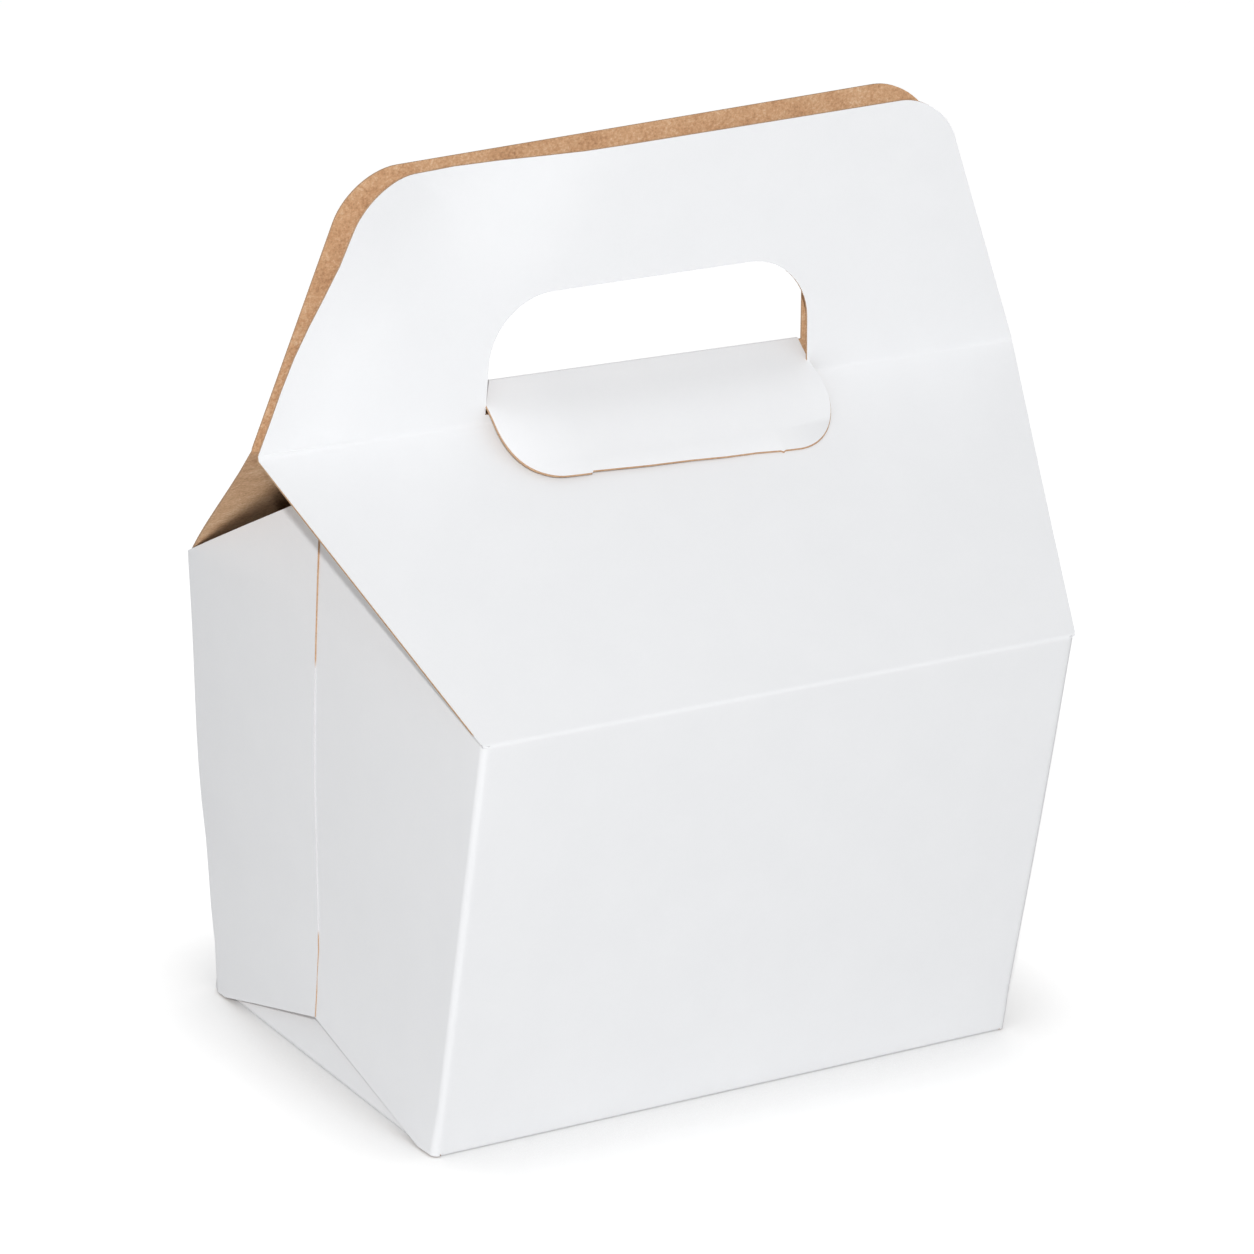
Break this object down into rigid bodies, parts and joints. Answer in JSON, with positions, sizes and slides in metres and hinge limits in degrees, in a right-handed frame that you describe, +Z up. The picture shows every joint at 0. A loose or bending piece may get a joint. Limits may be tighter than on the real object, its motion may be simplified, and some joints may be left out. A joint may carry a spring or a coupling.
{
  "type": "carry carton",
  "caption": "White-faced paperboard carry carton with a pitched roof, a standing handle with a hand hole, and a folding tongue that locks the handle panels.",
  "frame": {"origin": "middle of the underside of the bottom panel, on the surface the carton stands on", "axes": "+Z up; X along the front wall and the ridge, +X to the right when looking at the front; the front wall, which the tongue points at, faces -Y"},
  "size_m": [0.195, 0.1266, 0.2089],
  "materials": {
    "coated_board": "smooth matt white coating outside, unbleached brown board inside and at cut edges",
    "tongue_board": "the same board: white face up, brown face down"
  },
  "bodies": {
    "carton": {"carton": "coated_board"},
    "tongue": {"lock_tongue": "tongue_board"}
  },
  "joints": [
    {"name": "tongue_fold", "type": "hinge", "parent": "carton", "child": "tongue", "pos_m": [0, 0.00269, 0.15526], "axis": [-1, 0, 0], "range_deg": [0, 90]}
  ]
}
